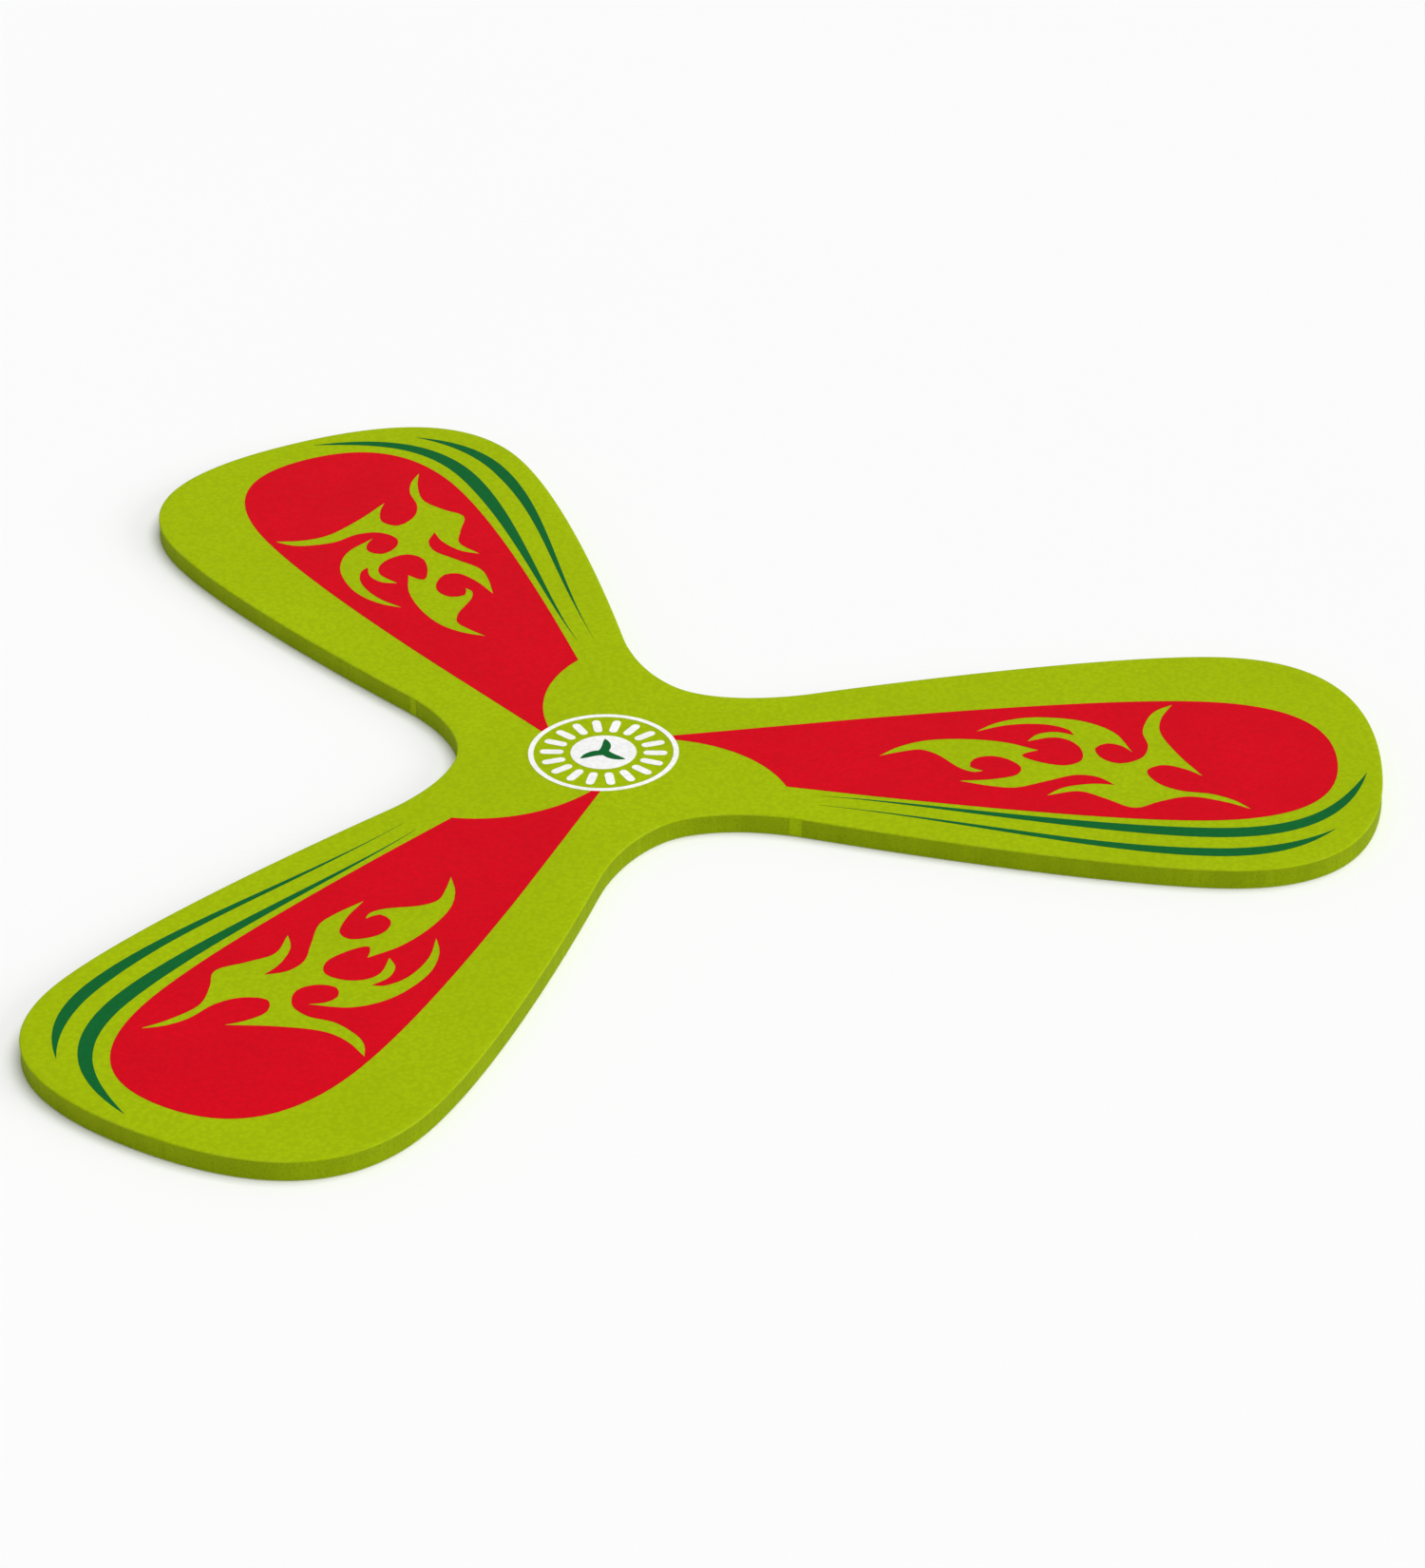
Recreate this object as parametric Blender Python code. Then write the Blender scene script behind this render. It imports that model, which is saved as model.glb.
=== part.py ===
"""Three-bladed throwing boomerang: a flat die-cut foam blank with printed decoration.

The blank lies on the ground plane with its hub centre at the origin and +Z up.
Blade 1 points along +X, and blades 2 and 3 follow every 120 degrees. Each shape of the
decoration is a thin film solid, which keeps a small working gap to the foam below it.
Outlines are drawn for blade 1 in millimetres, as (x along the blade, y across it).
"""

from math import ceil, cos, pi, radians, sin

import bmesh
import bpy
from mathutils import Matrix, Vector

MM = 0.001

# Driving dimensions, in millimetres.
BLADES = 3
TIP_RADIUS = 145.0          # hub centre to the end of a blade
NOTCH_RADIUS = 27.9         # hub centre to the bottom of the notch between two blades
SHOULDER_X = 115.0          # where a blade is widest
SHOULDER_HALF_WIDTH = 39.15
WAIST_X = 26.0              # where a blade is narrowest
WAIST_HALF_WIDTH = 21.5
FOAM_THICKNESS = 4.0
FILM_THICKNESS = 0.2
FIT_GAP = 0.3               # between the foam and a film, and between two films

# The short flat that joins the hub fillet to the straight edge of a blade.
FLAT_START = (35.0, 22.5)
FLAT_END = (37.2, 23.05)

# Red panel of a blade.
PANEL_AXIS_Y = -0.2         # the panel's own centreline
PANEL_END_X = 136.8
PANEL_SHOULDER_X = 109.0
PANEL_SHOULDER_HALF_WIDTH = 21.85
PANEL_STRAIGHT_X = 50.0     # the panel's edges are straight from here to the hub
PANEL_STRAIGHT_HALF_WIDTH = 14.35
PANEL_NOSE_X = 10.0
PANEL_NOSE_TOP = 6.3
PANEL_NOSE_BOTTOM = 5.7
PANEL_HEEL = (34.2, -11.5)  # lower corner, where the curved hub end starts

# Flame-shaped opening of the panel. Each stroke is a smooth curve from one point of the
# flame to the next, and its end is where the next stroke starts.
FLAME_STROKES = (
    ((51.2, 0.0), (55.0, 3.5), (60.0, 5.9), (67.5, 6.6), (75.0, 5.5)),
    ((81.2, 2.7), (79.2, 1.9), (78.0, 0.8), (80.5, -1.2), (86.0, -2.7), (89.1, -0.8),
     (89.0, 3.6), (86.8, 6.6), (84.0, 7.5)),
    ((79.1, 6.0), (81.0, 8.6), (84.4, 9.6)),
    ((87.9, 8.5), (87.1, 10.2), (84.0, 12.0), (80.0, 12.5), (75.0, 11.8)),
    ((69.5, 9.4), (73.0, 12.5), (78.0, 14.6), (83.0, 15.0), (90.0, 13.6), (95.5, 9.6)),
    ((98.8, 2.2), (96.6, 4.7), (94.0, 5.5), (91.8, 3.7), (92.9, 0.1), (96.2, -1.8),
     (100.3, 0.3), (101.7, 4.5), (100.9, 10.0), (102.6, 16.3), (104.2, 18.4)),
    ((106.9, 20.3), (104.6, 15.0), (104.2, 10.0), (107.0, 2.2)),
    ((111.5, -6.2), (108.3, -3.7), (104.2, -2.3), (101.2, -4.3), (103.0, -8.7),
     (107.0, -11.4), (113.0, -12.6), (117.0, -14.8)),
    ((119.9, -17.9), (115.0, -15.3), (108.5, -13.6), (103.0, -15.5), (98.5, -17.8),
     (93.0, -14.5), (88.5, -12.1)),
    ((82.3, -13.7), (85.5, -10.8), (91.0, -9.3)),
    ((94.9, -9.6), (92.0, -6.9), (88.0, -6.2), (82.5, -8.5), (76.5, -11.0), (72.0, -10.5)),
    ((66.0, -8.7), (72.5, -8.0), (77.0, -6.2), (77.8, -3.7), (75.0, -0.5), (72.0, 0.4),
     (69.0, -0.8), (68.3, -3.6)),
    ((70.8, -5.0), (69.0, -5.5), (66.5, -4.2), (62.0, 0.9), (59.0, 2.5), (55.5, 1.7)),
)
FLAME_POINT_SPACING = 1.6

# Speed stripes. Each edge is two Bezier arcs that meet level at STRIPE_CREST_X: the hub
# handle, the handle's x before the crest and after it, and the handle at the far point.
STRIPE_CREST_X = 113.0
STRIPES = {
    "inner": {
        "hub_point": (41.0, -14.8),
        "far_point": (142.0, -4.2),
        "edges": (
            ((59.0, -16.5), 90.0, -24.6, 130.5, (136.2, -16.0)),
            ((58.5, -16.8), 93.0, -27.8, 131.0, (138.7, -17.8)),
        ),
    },
    "outer": {
        "hub_point": (40.5, -18.0),
        "far_point": (134.8, -24.4),
        "edges": (
            ((73.5, -24.0), 90.0, -31.7, 117.0, (126.5, -31.2)),
            ((66.5, -22.9), 93.0, -34.4, 125.0, (131.0, -29.0)),
        ),
    },
}

# Hub emblem: a ring, a disc with a pinwheel let into it, and a band of ticks.
EMBLEM_CENTRE = (-0.4, 0.3)
RING_OUTER_RADIUS = 14.15
RING_INNER_RADIUS = 13.15
DISC_RADIUS = 6.2
PINWHEEL_ARMS = 3
PINWHEEL_REACH = 4.9
PINWHEEL_ROOT = 1.1
TICKS = 18
TICK_START_RADIUS = 7.5
TICK_END_RADIUS = 12.0
TICK_WIDTH = 1.6

CIRCLE_POINTS = 72
TICK_END_POINTS = 9


def remove_everything():
    """Empty the scene, so that the script gives the same model each time."""
    for obj in list(bpy.data.objects):
        bpy.data.objects.remove(obj, do_unlink=True)


def srgb(red, green, blue):
    """Linear colour of an 8-bit sRGB colour."""
    linear = []
    for channel in (red, green, blue):
        value = channel / 255.0
        linear.append(value / 12.92 if value <= 0.04045 else ((value + 0.055) / 1.055) ** 2.4)
    return (*linear, 1.0)


def new_material(name, colour, roughness):
    """A plain Principled material."""
    material = bpy.data.materials.new(name)
    material.use_nodes = True
    shader = material.node_tree.nodes["Principled BSDF"]
    shader.inputs["Base Color"].default_value = colour
    shader.inputs["Roughness"].default_value = roughness
    shader.inputs["Metallic"].default_value = 0.0
    return material


def bezier(start, start_handle, end_handle, end, steps):
    """Points along a cubic Bezier arc, both ends included."""
    corners = [Vector(point) for point in (start, start_handle, end_handle, end)]
    points = []
    for step in range(steps + 1):
        t = step / steps
        s = 1.0 - t
        weights = (s**3, 3 * s * s * t, 3 * s * t * t, t**3)
        points.append(sum((w * c for w, c in zip(weights, corners)), Vector((0.0, 0.0))))
    return points


def smooth_curve(knots, spacing):
    """A centripetal Catmull-Rom curve through the knots, both ends included."""
    knots = [Vector(knot) for knot in knots]
    knots = [2 * knots[0] - knots[1], *knots, 2 * knots[-1] - knots[-2]]
    points = [knots[1]]
    for a, b, c, d in zip(knots, knots[1:], knots[2:], knots[3:]):
        t0 = 0.0
        t1 = t0 + (b - a).length ** 0.5
        t2 = t1 + (c - b).length ** 0.5
        t3 = t2 + (d - c).length ** 0.5
        steps = ceil((c - b).length / spacing)
        for step in range(1, steps + 1):
            t = t1 + (t2 - t1) * step / steps
            ab = a.lerp(b, (t - t0) / (t1 - t0))
            bc = b.lerp(c, (t - t1) / (t2 - t1))
            cd = c.lerp(d, (t - t2) / (t3 - t2))
            abc = ab.lerp(bc, (t - t0) / (t2 - t0))
            bcd = bc.lerp(cd, (t - t1) / (t3 - t1))
            points.append(abc.lerp(bcd, (t - t1) / (t2 - t1)))
    return points


def turned(points, angle):
    """The points turned about the origin."""
    rotation = Matrix.Rotation(angle, 2)
    return [rotation @ point for point in points]


def mirrored(points, axis_y=0.0):
    """The points mirrored across a line along the blade, in reverse order."""
    return [Vector((point.x, 2 * axis_y - point.y)) for point in reversed(points)]


def arc(radius, start, end, steps, centre=(0.0, 0.0)):
    """Points along a circular arc, both ends included."""
    points = []
    for step in range(steps + 1):
        angle = start + (end - start) * step / steps
        points.append(Vector((centre[0] + radius * cos(angle), centre[1] + radius * sin(angle))))
    return points


def circle(radius):
    """Points of a full circle about the origin."""
    return arc(radius, 0.0, 2 * pi, CIRCLE_POINTS)[:-1]


def polygon_prism(bm, outline, bottom, top):
    """Add a closed prism over the outline, which runs counterclockwise."""
    lower = [bm.verts.new((point.x * MM, point.y * MM, bottom * MM)) for point in outline]
    base = bm.faces.new(lower)
    base.normal_update()
    if base.normal.z > 0.0:
        base.normal_flip()
    extruded = bmesh.ops.extrude_face_region(bm, geom=[base], use_keep_orig=True)
    raised = [item for item in extruded["geom"] if isinstance(item, bmesh.types.BMVert)]
    bmesh.ops.translate(bm, verts=raised, vec=(0.0, 0.0, (top - bottom) * MM))
    bmesh.ops.recalc_face_normals(bm, faces=bm.faces)


def add_prism(name, outline, thickness, material=None, parent=None, location=(0.0, 0.0, 0.0)):
    """A flat piece of the given outline and thickness, as a new object."""
    bm = bmesh.new()
    polygon_prism(bm, outline, 0.0, thickness)
    mesh = bpy.data.meshes.new(name)
    bm.to_mesh(mesh)
    bm.free()
    obj = bpy.data.objects.new(name, mesh)
    bpy.context.collection.objects.link(obj)
    obj.parent = parent
    obj.location = [value * MM for value in location]
    if material is not None:
        mesh.materials.append(material)
        mesh.shade_smooth()
        mesh.set_sharp_from_angle(angle=radians(30))
    return obj


def add_cutter(name, outline, thickness, parent=None, location=(0.0, 0.0, 0.0)):
    """A prism that only cuts: it is hidden, and not a piece of the boomerang."""
    x, y, z = location
    cutter = add_prism(name, outline, 3 * thickness, None, parent, (x, y, z - thickness))
    cutter.hide_render = True
    cutter.display_type = "WIRE"
    return cutter


def cut(obj, cutter):
    """Cut the cutter's shape out of the object."""
    modifier = obj.modifiers.new("cut_" + cutter.name, "BOOLEAN")
    modifier.operation = "DIFFERENCE"
    modifier.solver = "EXACT"
    modifier.object = cutter


def add_empty(name, angle=0.0, location=(0.0, 0.0, 0.0)):
    """A frame that pieces hang on."""
    empty = bpy.data.objects.new(name, None)
    bpy.context.collection.objects.link(empty)
    empty.location = [value * MM for value in location]
    empty.rotation_euler.z = angle
    return empty


def half_blade_outline():
    """One long side of blade 1, from the tip to the bottom of the notch beside it."""
    half_pitch = pi / BLADES
    notch = Vector((cos(half_pitch), sin(half_pitch))) * NOTCH_RADIUS
    across_notch = Vector((sin(half_pitch), -cos(half_pitch)))
    shoulder = (SHOULDER_X, SHOULDER_HALF_WIDTH)
    waist = (WAIST_X, WAIST_HALF_WIDTH)
    tip_curve = bezier((TIP_RADIUS, 0.0), (TIP_RADIUS, 26.0), (135.2, SHOULDER_HALF_WIDTH),
                       shoulder, 16)
    long_edge = bezier(shoulder, (98.5, SHOULDER_HALF_WIDTH), (67.0, 31.8), FLAT_END, 14)
    fillet = bezier(FLAT_START, (32.0, 21.9), (29.0, WAIST_HALF_WIDTH), waist, 4)
    root = bezier(waist, (21.5, WAIST_HALF_WIDTH), notch + 3.6 * across_notch, notch, 8)
    return tip_curve + long_edge[1:] + fillet + root[1:]


def blank_outline():
    """The whole outline of the blank: every blade has the same two mirrored sides."""
    left_side = half_blade_outline()
    right_side = mirrored(left_side)
    one_blade = right_side[:-1] + left_side[:-1]
    outline = []
    for blade in range(BLADES):
        outline += turned(one_blade, blade * 2 * pi / BLADES)
    return outline


def panel_outline():
    """The red panel of blade 1, with its nose drawn on under the emblem."""
    axis = PANEL_AXIS_Y
    straight = (PANEL_STRAIGHT_X, axis + PANEL_STRAIGHT_HALF_WIDTH)
    shoulder = (PANEL_SHOULDER_X, axis + PANEL_SHOULDER_HALF_WIDTH)
    end = (PANEL_END_X, axis)
    far_edge = bezier(end, (PANEL_END_X, axis + 14.0), (128.4, shoulder[1]), shoulder, 14)
    long_edge = bezier(shoulder, (97.3, shoulder[1]), (79.0, axis + 19.7), straight, 10)
    upper_side = far_edge + long_edge[1:]
    lower_side = mirrored(upper_side, axis)
    nose_bottom = (PANEL_NOSE_X, PANEL_NOSE_BOTTOM)
    hub_end = bezier(nose_bottom, (27.0, 3.9), (32.8, -7.8), PANEL_HEEL, 12)
    nose_top = Vector((PANEL_NOSE_X, PANEL_NOSE_TOP))
    return lower_side[:-1] + upper_side + [nose_top] + hub_end


def flame_outline():
    """The flame-shaped opening, one smooth stroke after another."""
    outline = []
    next_strokes = FLAME_STROKES[1:] + FLAME_STROKES[:1]
    for stroke, next_stroke in zip(FLAME_STROKES, next_strokes):
        outline += smooth_curve([*stroke, next_stroke[0]], FLAME_POINT_SPACING)[:-1]
    return outline


def stripe_edge(hub_point, far_point, edge):
    """One long edge of a stripe, from its hub point to its far point."""
    hub_handle, x_before, crest_y, x_after, far_handle = edge
    crest = (STRIPE_CREST_X, crest_y)
    near = bezier(hub_point, hub_handle, (x_before, crest_y), crest, 12)
    far = bezier(crest, (x_after, crest_y), far_handle, far_point, 12)
    return near + far[1:]


def stripe_outline(stripe):
    """A speed stripe, which runs out to a point at both ends."""
    upper, lower = [stripe_edge(stripe["hub_point"], stripe["far_point"], edge)
                    for edge in stripe["edges"]]
    return lower + list(reversed(upper))[1:-1]


def pinwheel_outline(margin=0.0):
    """Three curved arms about the hub; a margin makes the opening that they sit in."""
    root = PINWHEEL_ROOT + margin
    tip = Vector((PINWHEEL_REACH + 2 * margin, 0.0))
    pitch = 2 * pi / PINWHEEL_ARMS
    hollow = Vector((cos(-pitch / 2), sin(-pitch / 2))) * root
    next_hollow = Vector((cos(pitch / 2), sin(pitch / 2))) * root
    arm_width = 1.5 + margin
    front = bezier(hollow, (1.6, -arm_width), (3.6, -arm_width), tip, 8)
    back = bezier(tip, (3.4, 0.5 + margin), (1.9, 0.2 + margin), next_hollow, 8)
    outline = []
    for arm in range(PINWHEEL_ARMS):
        outline += turned(front + back[1:-1], pi / 2 + arm * pitch)
    return outline


def tick_outline():
    """A dash with round ends, on the +X side of the emblem's centre."""
    radius = TICK_WIDTH / 2
    outer = arc(radius, -pi / 2, pi / 2, TICK_END_POINTS, (TICK_END_RADIUS - radius, 0.0))
    inner = arc(radius, pi / 2, 3 * pi / 2, TICK_END_POINTS, (TICK_START_RADIUS + radius, 0.0))
    return outer + inner


def build_foam_blank(material):
    """The die-cut foam body: hub and three blades in one piece."""
    add_prism("foam_blank", blank_outline(), FOAM_THICKNESS, material)


def build_panels(blade_frames, red):
    """A red panel on each blade, opened by the flame and trimmed clear of the emblem."""
    film_z = FOAM_THICKNESS + FIT_GAP
    emblem_x, emblem_y = EMBLEM_CENTRE
    clearance = add_cutter("emblem_clearance", circle(RING_OUTER_RADIUS + FIT_GAP),
                           FILM_THICKNESS, location=(emblem_x, emblem_y, film_z))
    for number, blade_frame in enumerate(blade_frames, 1):
        panel = add_prism(f"red_panel_{number}", panel_outline(), FILM_THICKNESS, red,
                          blade_frame, (0.0, 0.0, film_z))
        flame = add_cutter(f"flame_cutter_{number}", flame_outline(), FILM_THICKNESS,
                           blade_frame, (0.0, 0.0, film_z))
        cut(panel, flame)
        cut(panel, clearance)


def build_stripes(blade_frames, dark_green):
    """Two dark green speed stripes along one side of each blade."""
    for number, blade_frame in enumerate(blade_frames, 1):
        for side, stripe in STRIPES.items():
            add_prism(f"{side}_stripe_{number}", stripe_outline(stripe), FILM_THICKNESS,
                      dark_green, blade_frame, (0.0, 0.0, FOAM_THICKNESS + FIT_GAP))


def build_emblem(dark_green, white):
    """The round hub emblem."""
    emblem_frame = add_empty("emblem_frame",
                             location=(*EMBLEM_CENTRE, FOAM_THICKNESS + FIT_GAP))
    ring = add_prism("emblem_ring", circle(RING_OUTER_RADIUS), FILM_THICKNESS, white,
                     emblem_frame)
    cut(ring, add_cutter("ring_cutter", circle(RING_INNER_RADIUS), FILM_THICKNESS, emblem_frame))
    disc = add_prism("emblem_disc", circle(DISC_RADIUS), FILM_THICKNESS, white, emblem_frame)
    cut(disc, add_cutter("pinwheel_cutter", pinwheel_outline(FIT_GAP), FILM_THICKNESS,
                         emblem_frame))
    add_prism("emblem_pinwheel", pinwheel_outline(), FILM_THICKNESS, dark_green, emblem_frame)
    for tick in range(TICKS):
        piece = add_prism(f"emblem_tick_{tick + 1:02d}", tick_outline(), FILM_THICKNESS, white,
                          emblem_frame)
        piece.rotation_euler.z = tick * 2 * pi / TICKS


def main():
    remove_everything()
    foam_green = new_material("foam_green", srgb(162, 186, 2), 0.75)
    red = new_material("print_red", srgb(213, 0, 25), 0.5)
    dark_green = new_material("print_dark_green", srgb(11, 100, 45), 0.5)
    white = new_material("print_white", srgb(240, 240, 238), 0.5)
    blade_frames = [add_empty(f"blade_frame_{blade + 1}", blade * 2 * pi / BLADES)
                    for blade in range(BLADES)]
    build_foam_blank(foam_green)
    build_panels(blade_frames, red)
    build_stripes(blade_frames, dark_green)
    build_emblem(dark_green, white)


main()
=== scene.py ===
"""Looks of the soft foam boomerang: a die-cut foam sheet with printed decoration.

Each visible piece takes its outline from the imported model, redraws it as a smooth curve,
and is built on it as real geometry: the foam with dished, rounded cut edges, and each
printed shape as a thin film of ink that lies on the foam. Everything is in metres.
"""

from math import ceil, cos, pi, radians, sin, sqrt

import bmesh
import bpy
from mathutils import Matrix, Vector
from mathutils.geometry import delaunay_2d_cdt, intersect_line_sphere_2d
from mathutils.kdtree import KDTree


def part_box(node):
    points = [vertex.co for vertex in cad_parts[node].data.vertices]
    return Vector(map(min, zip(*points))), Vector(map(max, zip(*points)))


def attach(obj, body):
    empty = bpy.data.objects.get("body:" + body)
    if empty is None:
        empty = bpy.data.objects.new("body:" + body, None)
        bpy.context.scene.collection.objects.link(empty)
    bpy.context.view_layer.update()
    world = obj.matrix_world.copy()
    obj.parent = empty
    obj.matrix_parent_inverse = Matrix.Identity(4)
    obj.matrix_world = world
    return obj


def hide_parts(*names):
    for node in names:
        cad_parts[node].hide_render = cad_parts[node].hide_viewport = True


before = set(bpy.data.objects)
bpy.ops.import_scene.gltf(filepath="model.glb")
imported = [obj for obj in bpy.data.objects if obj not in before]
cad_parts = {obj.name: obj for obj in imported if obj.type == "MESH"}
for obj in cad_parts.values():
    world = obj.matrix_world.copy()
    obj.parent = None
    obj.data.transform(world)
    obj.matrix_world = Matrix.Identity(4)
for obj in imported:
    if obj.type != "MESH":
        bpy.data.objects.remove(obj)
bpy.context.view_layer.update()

MM = 0.001

# Foam sheet.
BLADES = 3
LIP_RADIUS = 0.28 * MM          # rounding of the cut edge at both faces
DISH_DEPTH = 0.14 * MM          # how far the cut wall draws in at mid height
DISH_POWER = 1.5                # above 1, the wall leaves the lips straight and then hollows
LIP_STEPS = 4                   # rings of points round a lip
WALL_STEPS = 3                  # rings of points from a lip to mid height
RIM_WIDTH = 1.2 * MM            # flat ring between the lip and the face
FOAM_SPACING = 0.8 * MM         # between outline points
FOAM_FACE_SPACING = 3.0 * MM    # between the points inside a face
# Bands of the cut wall that get a painted highlight, where the blade's edge meets the hub's
# curve: the blade, from 0, its side, and the stretch along it.
PAINTED_HIGHLIGHT_BANDS = ((0, -1, 35.0 * MM, 37.2 * MM), (1, 1, 35.8 * MM, 37.2 * MM))
PAINTED_HIGHLIGHT_SIDE = 20.0 * MM      # it is further than this from the blade's middle line

# Ink.
INK_SPACING = 0.5 * MM
INK_FACE_SPACING = 2.0 * MM
INK_THICKNESS = 0.05 * MM
RING_THICKNESS = 0.07 * MM
PINWHEEL_THICKNESS = 0.10 * MM
INK_OVERLAP = 0.3 * MM          # how far a panel's nose runs under the emblem's ring
NOSE_GAP = 0.36 * MM            # a point nearer to the ring than this is on a nose's end

# Meshes.
CORNER_ANGLE = radians(24)      # an outline turns a corner where it bends more than this
SHARP_ANGLE = radians(40)       # faces that meet at more than this aren't shaded as one
SAME_PLACE = 1e-6               # metres; points nearer than this are one point
FACE_POINT_ROOM = 0.6           # a face's inner points keep this many spacings off its rim

# Camera: it aims beside the hub's centre on the printed face.
CAMERA_AZIMUTH = radians(2.25)
CAMERA_ELEVATION = radians(30.885)
CAMERA_ROLL = radians(-0.553)
CAMERA_DISTANCE = 0.9709
CAMERA_AIM_RIGHT = 0.02006
CAMERA_AIM_UP = -0.00577
CAMERA_LENS = 118.88            # millimetres, as Blender takes it
CAMERA_SENSOR = 36.0            # millimetres

# Stage.
FLOOR_REACH = 3.0               # half the floor's width
FLOOR_PATCH = 0.4               # where the floor's white drifts
FLOOR_SHEEN_PATCH = 0.2
FLOOR_GRAIN = 10 * MM
FLOOR_RELIEF = 0.01 * MM
KEY_LIGHT = {"direction": (0.45, 0.1, 1.5), "spread": radians(50), "strength": 1.92}
SIDE_LIGHT = {"direction": (1.4, -0.5, 0.6), "spread": radians(30), "strength": 0.8}
SURROUND_STRENGTH = 0.34

FOAM_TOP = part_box("foam_blank")[1].z


# Outlines -------------------------------------------------------------------------------

def top_loops(node):
    """The closed outlines of a CAD node's upper face, the largest first, as 2D points."""
    bm = bmesh.new()
    bm.from_mesh(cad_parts[node].data)
    bmesh.ops.remove_doubles(bm, verts=bm.verts, dist=SAME_PLACE)
    top = max(vert.co.z for vert in bm.verts)
    upper = {face for face in bm.faces if min(v.co.z for v in face.verts) > top - SAME_PLACE}
    rim = [edge for edge in bm.edges if sum(face in upper for face in edge.link_faces) == 1]
    loops = []
    while rim:
        edge = rim.pop()
        loop = [edge.verts[0], edge.verts[1]]
        while loop[-1] != loop[0]:
            edge = next(item for item in rim if loop[-1] in item.verts)
            rim.remove(edge)
            loop.append(edge.other_vert(loop[-1]))
        loops.append([vert.co.xy for vert in loop[:-1]])
    bm.free()
    return sorted(loops, key=lambda loop: -abs(signed_area(loop)))


def signed_area(loop):
    """Area of a closed outline, positive if it runs counterclockwise."""
    return sum(a.cross(b) for a, b in zip(loop, loop[1:] + loop[:1])) / 2


def catmull_rom(a, b, c, d, spacing):
    """Points from b up to c on the centripetal curve through four points, without c."""
    t1 = (b - a).length ** 0.5
    t2 = t1 + (c - b).length ** 0.5
    t3 = t2 + (d - c).length ** 0.5
    steps = max(1, ceil((c - b).length / spacing))
    points = []
    for step in range(steps):
        t = t1 + (t2 - t1) * step / steps
        ab = a.lerp(b, t / t1)
        bc = b.lerp(c, (t - t1) / (t2 - t1))
        cd = c.lerp(d, (t - t2) / (t3 - t2))
        abc = ab.lerp(bc, t / t2)
        bcd = bc.lerp(cd, (t - t1) / (t3 - t1))
        points.append(abc.lerp(bcd, (t - t1) / (t2 - t1)))
    return points


def smooth_outline(loop, spacing):
    """The outline redrawn as a smooth counterclockwise curve that keeps its corners."""
    if signed_area(loop) < 0:
        loop = loop[::-1]
    count = len(loop)
    corners = []
    for i, point in enumerate(loop):
        turn = (point - loop[i - 1]).angle(loop[(i + 1) % count] - point)
        corners.append(turn > CORNER_ANGLE)
    points = []
    for i, b in enumerate(loop):
        c = loop[(i + 1) % count]
        a = 2 * b - c if corners[i] else loop[i - 1]
        d = 2 * c - b if corners[(i + 1) % count] else loop[(i + 2) % count]
        points += catmull_rom(a, b, c, d, spacing)
    return points


def inset(loop, distance):
    """A counterclockwise outline moved inwards."""
    moved = []
    for i, point in enumerate(loop):
        along = loop[(i + 1) % len(loop)] - loop[i - 1]
        inwards = Vector((-along.y, along.x)).normalized()
        moved.append(point + inwards * distance)
    return moved


def inside(point, loop):
    """Whether a point is inside a closed outline."""
    odd = False
    for a, b in zip(loop, loop[1:] + loop[:1]):
        if (a.y > point.y) != (b.y > point.y):
            if point.x < a.x + (b.x - a.x) * (point.y - a.y) / (b.y - a.y):
                odd = not odd
    return odd


def triangulate(loops, spacing):
    """Points inside a flat face, and its triangles, from the outer outline to the openings.

    A triangle's numbers count the points of the outlines first and then the added ones.
    """
    points = [point for loop in loops for point in loop]
    edges = []
    for loop in loops:
        first = len(edges)
        edges += [(first + i, first + (i + 1) % len(loop)) for i in range(len(loop))]
    rim = KDTree(len(points))
    for i, point in enumerate(points):
        rim.insert(point.to_3d(), i)
    rim.balance()

    outer, *openings = loops
    low = Vector(min(point[axis] for point in outer) for axis in (0, 1))
    high = Vector(max(point[axis] for point in outer) for axis in (0, 1))
    row_height = spacing * sqrt(3) / 2
    added = []
    for row in range(ceil((high.y - low.y) / row_height)):
        for column in range(ceil((high.x - low.x) / spacing)):
            point = low + Vector(((column + row % 2 / 2) * spacing, row * row_height))
            if rim.find(point.to_3d())[2] < FACE_POINT_ROOM * spacing:
                continue
            if inside(point, outer) and not any(inside(point, loop) for loop in openings):
                added.append(point)

    inside_only, tolerance = 1, 1e-8
    coordinates, _, triangles, sources, _, _ = delaunay_2d_cdt(
        points + added, edges, [list(range(len(outer)))], inside_only, tolerance)
    kept = []
    for triangle in triangles:
        middle = sum((coordinates[i] for i in triangle), Vector((0.0, 0.0))) / 3
        if not any(inside(middle, loop) for loop in openings):
            kept.append([sources[i][0] for i in triangle])
    return added, kept


# Pieces ---------------------------------------------------------------------------------

def finished_piece(bm, name, materials, slot, *nodes):
    """A new piece of the object that rides on the root body and stands for CAD nodes."""
    bmesh.ops.recalc_face_normals(bm, faces=bm.faces)
    mesh = bpy.data.meshes.new(name)
    bm.to_mesh(mesh)
    bm.free()
    for material in materials:
        mesh.materials.append(material)
    mesh.shade_smooth()
    mesh.set_sharp_from_angle(angle=SHARP_ANGLE)
    piece = bpy.data.objects.new(name, mesh)
    bpy.context.collection.objects.link(piece)
    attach(piece, "root")
    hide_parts(*nodes)
    return piece


def add_ring(bm, loop, height):
    """Vertices of an outline at one height."""
    return [bm.verts.new((point.x, point.y, height)) for point in loop]


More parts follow.
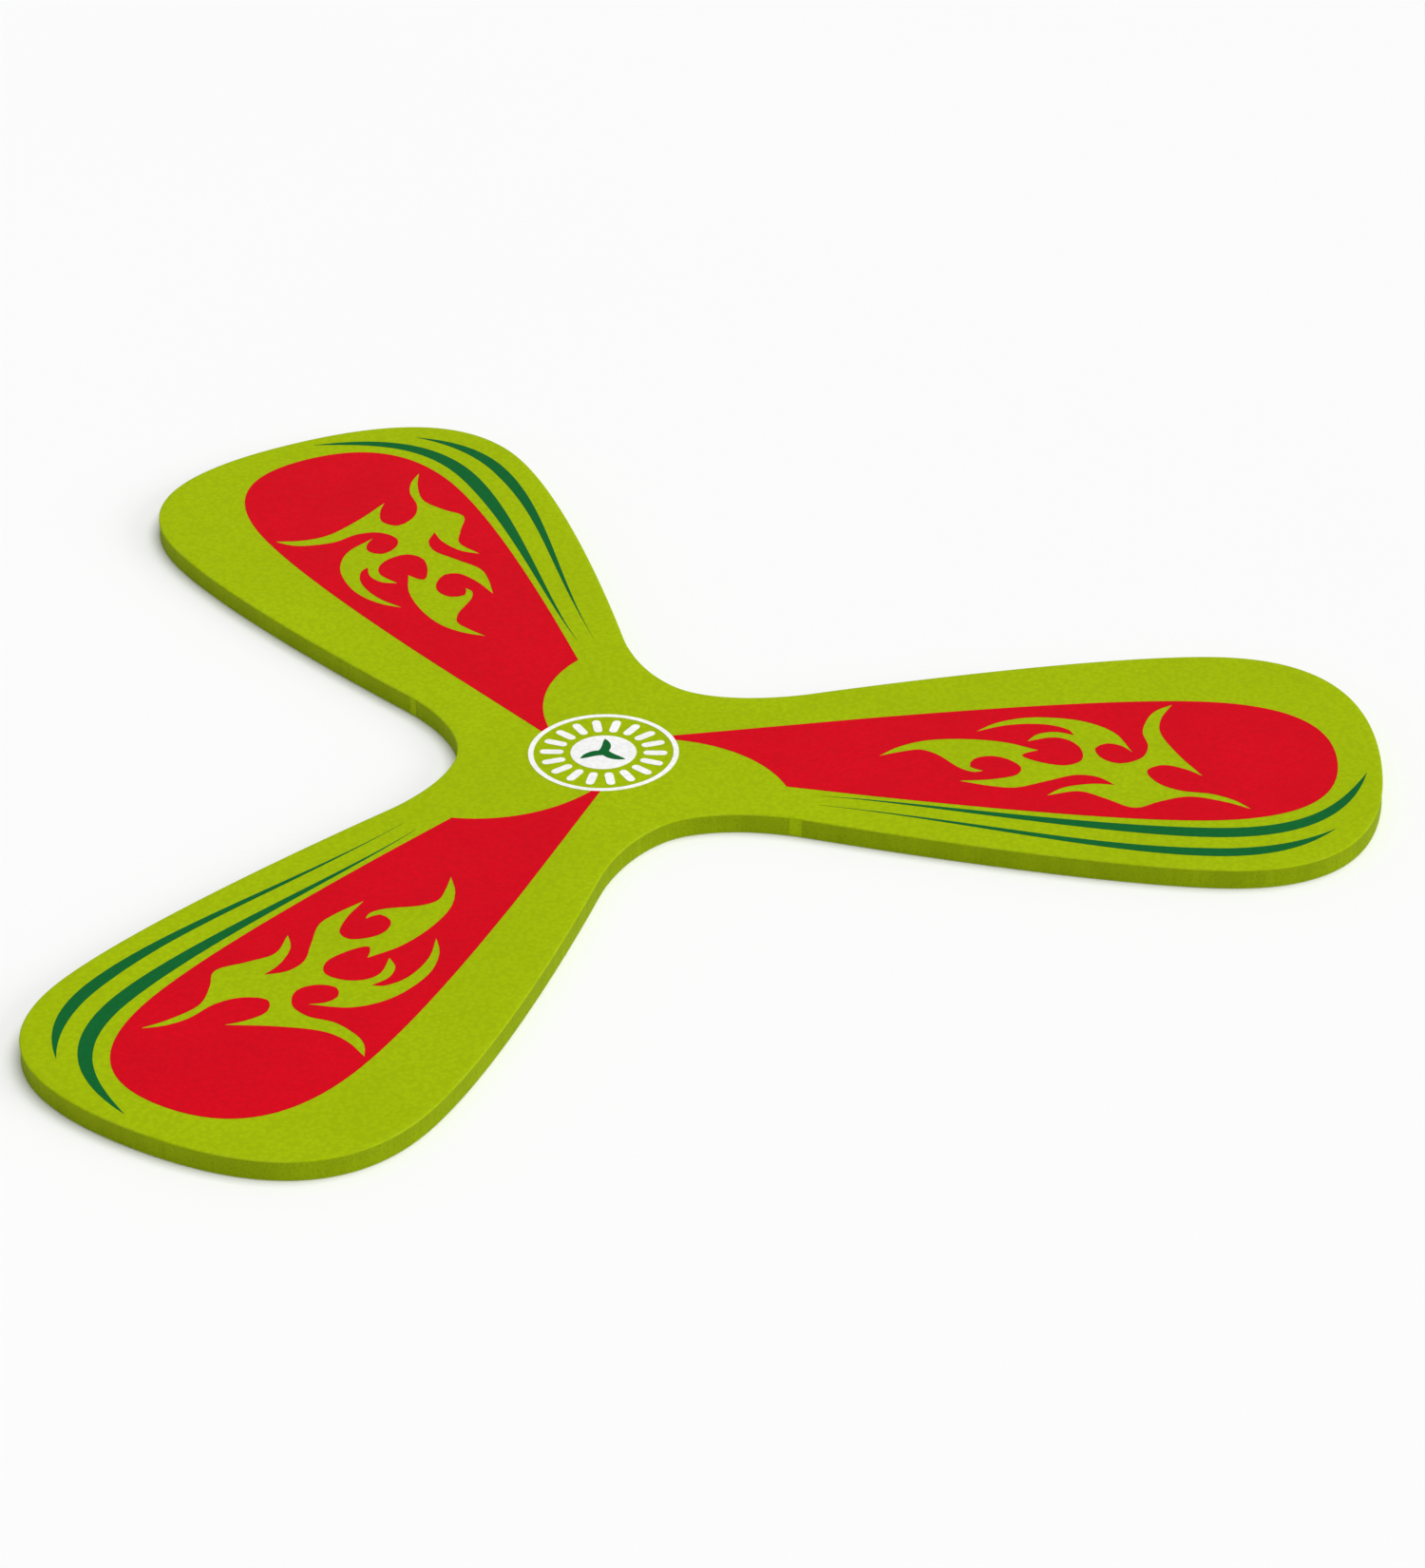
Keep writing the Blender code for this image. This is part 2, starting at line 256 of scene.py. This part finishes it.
def join_rings(bm, lower, upper):
    """Faces between two rings of the same length."""
    count = len(lower)
    return [bm.faces.new((lower[i], lower[(i + 1) % count], upper[(i + 1) % count], upper[i]))
            for i in range(count)]


def fill_face(bm, rings, filling):
    """A flat face between rings that are at one height."""
    added, triangles = filling
    verts = [vert for ring in rings for vert in ring]
    verts += add_ring(bm, added, verts[0].co.z)
    for triangle in triangles:
        bm.faces.new([verts[i] for i in triangle])


def lip_profile(height):
    """Half of the cut edge's profile, from face to mid height, as (inset, depth)."""
    profile = [(LIP_RADIUS + RIM_WIDTH, 0.0)]
    for step in range(LIP_STEPS + 1):
        angle = step / LIP_STEPS * pi / 2
        profile.append((LIP_RADIUS * (1 - sin(angle)), LIP_RADIUS * (1 - cos(angle))))
    wall = height / 2 - LIP_RADIUS
    for step in range(1, WALL_STEPS + 1):
        share = step / WALL_STEPS
        dish = DISH_DEPTH * sin(share * pi / 2) ** DISH_POWER
        profile.append((dish, LIP_RADIUS + wall * share))
    return profile


def on_painted_highlight_band(point):
    """Whether a point of the cut wall is on one of the bands that get a painted highlight."""
    for blade, side, start, end in PAINTED_HIGHLIGHT_BANDS:
        along = point.xy @ Matrix.Rotation(blade * 2 * pi / BLADES, 2)
        if start < along.x < end and side * along.y > PAINTED_HIGHLIGHT_SIDE:
            return True
    return False


def build_foam(skin, cut, painted_highlight_wall):
    """The foam blank: two flat faces and a dished wall with rounded lips between them."""
    outline = smooth_outline(top_loops("foam_blank")[0], FOAM_SPACING)
    half = lip_profile(FOAM_TOP)
    profile = [(move, FOAM_TOP - depth) for move, depth in half]
    profile += [(move, depth) for move, depth in reversed(half[:-1])]
    lip_end = LIP_STEPS + 1
    bm = bmesh.new()
    edge = bm.verts.layers.float.new("edge")
    rings = [add_ring(bm, inset(outline, move), height) for move, height in profile]
    for i, ring in enumerate(rings):
        steps_from_face = min(i, len(rings) - 1 - i)
        for vert in ring:
            vert[edge] = max(0.0, 1.0 - abs(steps_from_face - lip_end + 1) / LIP_STEPS)
    for i, (upper, lower) in enumerate(zip(rings, rings[1:])):
        is_wall = lip_end <= i < len(rings) - 1 - lip_end
        for face in join_rings(bm, lower, upper):
            if is_wall:
                # faces on those bands get the material with the painted highlight
                face.material_index = 2 if on_painted_highlight_band(face.calc_center_median()) else 1
    filling = triangulate([inset(outline, profile[0][0])], FOAM_FACE_SPACING)
    fill_face(bm, rings[:1], filling)
    fill_face(bm, rings[-1:], filling)
    return finished_piece(bm, "foam_sheet", [skin, cut, painted_highlight_wall], "foam_green", "foam_blank")


def build_film(name, node, material, slot, thickness=INK_THICKNESS, openings=True, trim=None):
    """A printed shape: a thin film of ink on the foam, with the outline of its CAD node.

    A film without openings runs on under what is printed over it, and trim is a function
    that changes the outer outline.
    """
    loops = [smooth_outline(loop, INK_SPACING) for loop in top_loops(node)]
    if not openings:
        loops = loops[:1]
    if trim is not None:
        loops[0] = trim(loops[0])
    bm = bmesh.new()
    lower = [add_ring(bm, loop, FOAM_TOP) for loop in loops]
    upper = [add_ring(bm, loop, FOAM_TOP + thickness) for loop in loops]
    for low, high in zip(lower, upper):
        join_rings(bm, low, high)
    filling = triangulate(loops, INK_FACE_SPACING)
    fill_face(bm, upper, filling)
    fill_face(bm, lower, filling)
    return finished_piece(bm, name, [material], slot, node)


def build_prints(red, dark_green, white):
    """The blades' panels and stripes, and the hub emblem."""
    low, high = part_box("emblem_ring")
    centre = ((low + high) / 2).xy
    ring_radius = (high.x - low.x) / 2

    def reach_ring(loop):
        """Draw a panel's nose on, along its two edges, until it ends under the emblem's ring."""
        at_ring = [(point - centre).length < ring_radius + NOSE_GAP for point in loop]
        moved = []
        for i, point in enumerate(loop):
            behind = [loop[k] for k in (i - 1, (i + 1) % len(loop)) if not at_ring[k]]
            if not at_ring[i]:
                moved.append(point)
            elif behind:
                ends = intersect_line_sphere_2d(behind[0], point, centre,
                                                ring_radius - INK_OVERLAP, False)
                moved.append(min(ends, key=lambda end: (end - point).length))
        return moved

    for number in range(1, BLADES + 1):
        build_film(f"panel_ink_{number}", f"red_panel_{number}", red, "print_red",
                   trim=reach_ring)
        for side in ("inner", "outer"):
            build_film(f"{side}_stripe_ink_{number}", f"{side}_stripe_{number}", dark_green,
                       "print_dark_green")
    build_film("ring_ink", "emblem_ring", white, "print_white", RING_THICKNESS)
    build_film("disc_ink", "emblem_disc", white, "print_white", openings=False)
    build_film("pinwheel_ink", "emblem_pinwheel", dark_green, "print_dark_green",
               PINWHEEL_THICKNESS)
    for node in sorted(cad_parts):
        if node.startswith("emblem_tick_"):
            build_film(node.replace("emblem_tick", "tick_ink"), node, white, "print_white")


# Materials ------------------------------------------------------------------------------

def srgb(red, green, blue):
    """Linear colour of an 8-bit sRGB colour."""
    linear = []
    for channel in (red, green, blue):
        value = channel / 255.0
        linear.append(value / 12.92 if value <= 0.04045 else ((value + 0.055) / 1.055) ** 2.4)
    return (*linear, 1.0)


def scaled(colour, factor):
    """A colour made lighter or darker."""
    return tuple(min(1.0, channel * factor) for channel in colour[:3]) + (1.0,)


class Nodes:
    """Short names for the nodes of one material."""

    def __init__(self, name):
        self.material = bpy.data.materials.new(name)
        self.material.use_nodes = True
        self.tree = self.material.node_tree
        self.shader = self.tree.nodes["Principled BSDF"]
        self.place = self.tree.nodes.new("ShaderNodeTexCoord").outputs["Object"]

    def add(self, kind, inputs, **settings):
        """A new node, with each input given as a value or as a socket to link from."""
        node = self.tree.nodes.new("ShaderNode" + kind)
        for name, value in settings.items():
            setattr(node, name, value)
        for key, value in inputs.items():
            if isinstance(value, bpy.types.NodeSocket):
                self.tree.links.new(value, node.inputs[key])
            else:
                node.inputs[key].default_value = value
        return node

    def noise(self, size, detail=2.0, stretch=(1.0, 1.0, 1.0)):
        """Noise whose blobs are about size across, from 0 to 1."""
        place = self.add("Mapping", {"Vector": self.place, "Scale": stretch}).outputs[0]
        return self.add("TexNoise", {"Vector": place, "Scale": 1 / size, "Detail": detail,
                                     "Roughness": 0.55}).outputs["Fac"]

    def cells(self, size):
        """Rounded cells about size across: 0 at a cell's middle, 1 at its wall."""
        return self.add("TexVoronoi", {"Vector": self.place, "Scale": 1 / size},
                        feature="F1").outputs["Distance"]

    def remap(self, value, low, high, to_low, to_high):
        """A value from one range carried to another."""
        return self.add("MapRange", {"Value": value, "From Min": low, "From Max": high,
                                     "To Min": to_low, "To Max": to_high}).outputs["Result"]

    def blend(self, factor, first, second):
        """A colour between two colours."""
        node = self.add("Mix", {"Factor": factor}, data_type="RGBA")
        for socket, colour in (("A", first), ("B", second)):
            target = next(i for i in node.inputs if i.name == socket and i.type == "RGBA")
            if isinstance(colour, bpy.types.NodeSocket):
                self.tree.links.new(colour, target)
            else:
                target.default_value = colour
        return next(o for o in node.outputs if o.type == "RGBA")

    def maths(self, operation, first, second):
        """The result of a calculation on two values."""
        return self.add("Math", {0: first, 1: second}, operation=operation).outputs[0]

    def finish(self, colour, roughness, height, depth, specular):
        """Connect the shader. The height runs from 0 to 1 over the given depth."""
        bump = self.add("Bump", {"Height": height, "Distance": depth, "Strength": 1.0})
        self.tree.links.new(bump.outputs[0], self.shader.inputs["Normal"])
        self.tree.links.new(colour, self.shader.inputs["Base Color"])
        self.tree.links.new(roughness, self.shader.inputs["Roughness"])
        self.shader.inputs["Specular IOR Level"].default_value = specular
        return self.material


FOAM_GREEN = srgb(162, 186, 2)
FOAM_RUBBED = srgb(178, 198, 40)
INK_RED = srgb(213, 0, 25)
INK_DARK_GREEN = srgb(11, 100, 45)
INK_WHITE = srgb(248, 248, 246)

SKIN_CELL = 1.0 * MM            # closed cells under the foam's skin
SKIN_GRAIN = 0.8 * MM
SKIN_PATCH = 28 * MM            # where the skin's tone drifts
SKIN_SHEEN_PATCH = 4 * MM
RUBBED_PATCH = 5 * MM           # where the lips are rubbed lighter
SKIN_RELIEF = 0.08 * MM
CUT_CELL = 0.6 * MM             # open cells of the cut wall
CUT_STREAK = 0.9 * MM
CUT_BAND = 6 * MM
CUT_RELIEF = 0.08 * MM
CUT_PAINTED_SHADE_TONE = 0.78                 # painted shade: how much darker the cut wall is painted than the face
PAINTED_HIGHLIGHT_TONE = 1.08               # painted highlight: the bands where the blade's edge meets the hub's curve are painted lighter than the face
INK_SPECKLE = 0.6 * MM
INK_PATCH = 14 * MM             # where the ink lies thicker or thinner
INK_SHEEN_PATCH = 2.5 * MM
INK_RELIEF = 0.05 * MM


def pebbled(n):
    """Height of the foam's skin: low domes over the closed cells, and a slow swell."""
    domes = n.remap(n.cells(SKIN_CELL), 0.0, 0.7, 1.0, 0.0)
    swell = n.noise(5 * SKIN_CELL, 2.0)
    return n.maths("ADD", n.maths("MULTIPLY", domes, 0.35), n.maths("MULTIPLY", swell, 0.65))


def foam_skin():
    """The skin of the foam sheet: fine closed cells under a soft, matt surface."""
    n = Nodes("foam_skin")
    broad = n.remap(n.noise(SKIN_PATCH, 3.0), 0.35, 0.65, 0.0, 1.0)
    colour = n.blend(broad, FOAM_GREEN, scaled(FOAM_GREEN, 1.07))
    grain = n.remap(n.noise(SKIN_GRAIN, 3.0), 0.35, 0.7, 0.0, 0.5)
    colour = n.blend(grain, colour, scaled(FOAM_GREEN, 0.88))
    # painted shade: the colour darkens between the cells' domes, where the bump is lowest
    painted_groove_shade = n.remap(n.cells(SKIN_CELL), 0.35, 0.7, 0.0, 0.35)
    colour = n.blend(painted_groove_shade, colour, scaled(FOAM_GREEN, 0.76))
    edge = n.add("Attribute", {}, attribute_name="edge").outputs["Fac"]
    rubbed = n.remap(n.noise(RUBBED_PATCH, 4.0), 0.4, 0.65, 0.0, 0.4)
    colour = n.blend(n.maths("MULTIPLY", edge, rubbed), colour, FOAM_RUBBED)
    roughness = n.remap(n.noise(SKIN_SHEEN_PATCH, 3.0), 0.3, 0.7, 0.58, 0.72)
    return n.finish(colour, roughness, pebbled(n), SKIN_RELIEF, 0.04)


def foam_cut(name, tone):
    """The die-cut wall: open cells, and soft bands that run across it from face to face. Tone
    scales its colour: painted shade on most of the wall, a painted highlight on a few bands.
    """
    n = Nodes(name)
    bands = n.remap(n.noise(CUT_BAND, 1.0, (1.0, 1.0, 0.02)), 0.35, 0.65, 0.0, 1.0)
    colour = n.blend(bands, scaled(FOAM_GREEN, 0.95 * tone), scaled(FOAM_GREEN, 1.05 * tone))
    streaks = n.noise(CUT_STREAK, 2.0, (1.0, 1.0, 0.08))
    streaked = n.remap(streaks, 0.35, 0.7, 0.0, 0.5)
    colour = n.blend(streaked, colour, scaled(FOAM_GREEN, 0.86 * tone))
    open_cells = n.remap(n.cells(CUT_CELL), 0.1, 0.45, 1.0, 0.0)
    # painted shade: the open cells' pits, which the bump sinks, are painted darker
    shaded = n.maths("MULTIPLY", open_cells, 0.35)
    colour = n.blend(shaded, colour, scaled(FOAM_GREEN, 0.6 * tone))
    height = n.maths("ADD", n.maths("MULTIPLY", open_cells, -0.6),
                     n.maths("MULTIPLY", streaks, 0.4))
    roughness = n.remap(streaks, 0.3, 0.7, 0.8, 0.9)
    return n.finish(colour, roughness, height, CUT_RELIEF, 0.08)


def ink(name, colour, roughness):
    """Printed ink: a satin film in which the foam's cells still show."""
    n = Nodes(name)
    density = n.remap(n.noise(INK_PATCH, 4.0), 0.35, 0.65, 0.0, 1.0)
    tint = n.blend(density, scaled(colour, 0.98), scaled(colour, 1.05))
    speckle = n.remap(n.noise(INK_SPECKLE, 2.0), 0.5, 0.75, 0.0, 0.5)
    tint = n.blend(speckle, tint, scaled(colour, 0.82))
    # painted shade: the ink darkens between the cells' domes, where the bump is lowest
    painted_groove_shade = n.remap(n.cells(SKIN_CELL), 0.35, 0.7, 0.0, 0.3)
    tint = n.blend(painted_groove_shade, tint, scaled(colour, 0.78))
    sheen = n.remap(n.noise(INK_SHEEN_PATCH, 3.0), 0.3, 0.7, roughness - 0.06,
                    roughness + 0.06)
    return n.finish(tint, sheen, pebbled(n), INK_RELIEF, 0.05)


# Stage ----------------------------------------------------------------------------------

def build_floor():
    """A plain pale floor under the boomerang."""
    bm = bmesh.new()
    bmesh.ops.create_grid(bm, x_segments=2, y_segments=2, size=FLOOR_REACH)
    mesh = bpy.data.meshes.new("floor")
    bm.to_mesh(mesh)
    bm.free()
    n = Nodes("floor_white")
    colour = n.blend(n.noise(FLOOR_PATCH), srgb(249, 249, 249), srgb(251, 251, 251))
    roughness = n.remap(n.noise(FLOOR_SHEEN_PATCH), 0.0, 1.0, 0.8, 0.9)
    grain = n.noise(FLOOR_GRAIN)
    mesh.materials.append(n.finish(colour, roughness, grain, FLOOR_RELIEF, 0.1))
    floor = bpy.data.objects.new("floor", mesh)
    bpy.context.collection.objects.link(floor)


def add_soft_light(name, direction, spread, strength):
    """An even light from one direction, as wide as a large softbox near the object."""
    light = bpy.data.lights.new(name, "SUN")
    light.angle = spread
    light.energy = strength
    lamp = bpy.data.objects.new(name, light)
    bpy.context.collection.objects.link(lamp)
    lamp.location = direction
    lamp.rotation_euler = Vector(direction).to_track_quat("Z", "Y").to_euler()


def build_lights():
    """A wide soft key overhead, a weaker one from the right, and a white surrounding.

    The surrounding is seen as white, and gives off less light than that.
    """
    add_soft_light("key", **KEY_LIGHT)
    add_soft_light("side", **SIDE_LIGHT)
    world = bpy.data.worlds.new("studio")
    bpy.context.scene.world = world
    world.use_nodes = True
    tree = world.node_tree
    surround = tree.nodes["Background"]
    surround.inputs["Color"].default_value = (1.0, 1.0, 1.0, 1.0)
    surround.inputs["Strength"].default_value = SURROUND_STRENGTH
    seen = tree.nodes.new("ShaderNodeBackground")
    seen.inputs["Color"].default_value = (1.0, 1.0, 1.0, 1.0)
    path = tree.nodes.new("ShaderNodeLightPath")
    mix = tree.nodes.new("ShaderNodeMixShader")
    tree.links.new(path.outputs["Is Camera Ray"], mix.inputs[0])
    tree.links.new(surround.outputs[0], mix.inputs[1])
    tree.links.new(seen.outputs[0], mix.inputs[2])
    tree.links.new(mix.outputs[0], tree.nodes["World Output"].inputs["Surface"])
    bpy.context.scene.view_settings.view_transform = "Standard"


def build_camera():
    """A camera that looks down on the boomerang from the front, slightly rolled."""
    az, el, roll = CAMERA_AZIMUTH, CAMERA_ELEVATION, CAMERA_ROLL
    back = Vector((sin(az) * cos(el), -cos(az) * cos(el), sin(el)))
    level_right = Vector((cos(az), sin(az), 0.0))
    level_up = back.cross(level_right)
    right = cos(roll) * level_right + sin(roll) * level_up
    up = cos(roll) * level_up - sin(roll) * level_right
    hub = Vector((0.0, 0.0, FOAM_TOP))
    aim = hub + CAMERA_AIM_RIGHT * right + CAMERA_AIM_UP * up
    data = bpy.data.cameras.new("camera")
    data.lens = CAMERA_LENS
    data.sensor_width = CAMERA_SENSOR
    data.clip_start = 0.01
    data.clip_end = 20.0
    camera = bpy.data.objects.new("camera", data)
    bpy.context.collection.objects.link(camera)
    rotation = Matrix((right, up, back)).transposed().to_4x4()
    camera.matrix_world = Matrix.Translation(aim + CAMERA_DISTANCE * back) @ rotation
    bpy.context.scene.camera = camera


build_camera()
build_lights()
build_floor()
build_foam(foam_skin(), foam_cut("foam_cut", CUT_PAINTED_SHADE_TONE), foam_cut("foam_cut_painted_highlight", PAINTED_HIGHLIGHT_TONE))
build_prints(red=ink("ink_red", INK_RED, roughness=0.5),
             dark_green=ink("ink_dark_green", INK_DARK_GREEN, roughness=0.5),
             white=ink("ink_white", INK_WHITE, roughness=0.55))

bpy.context.view_layer.update()
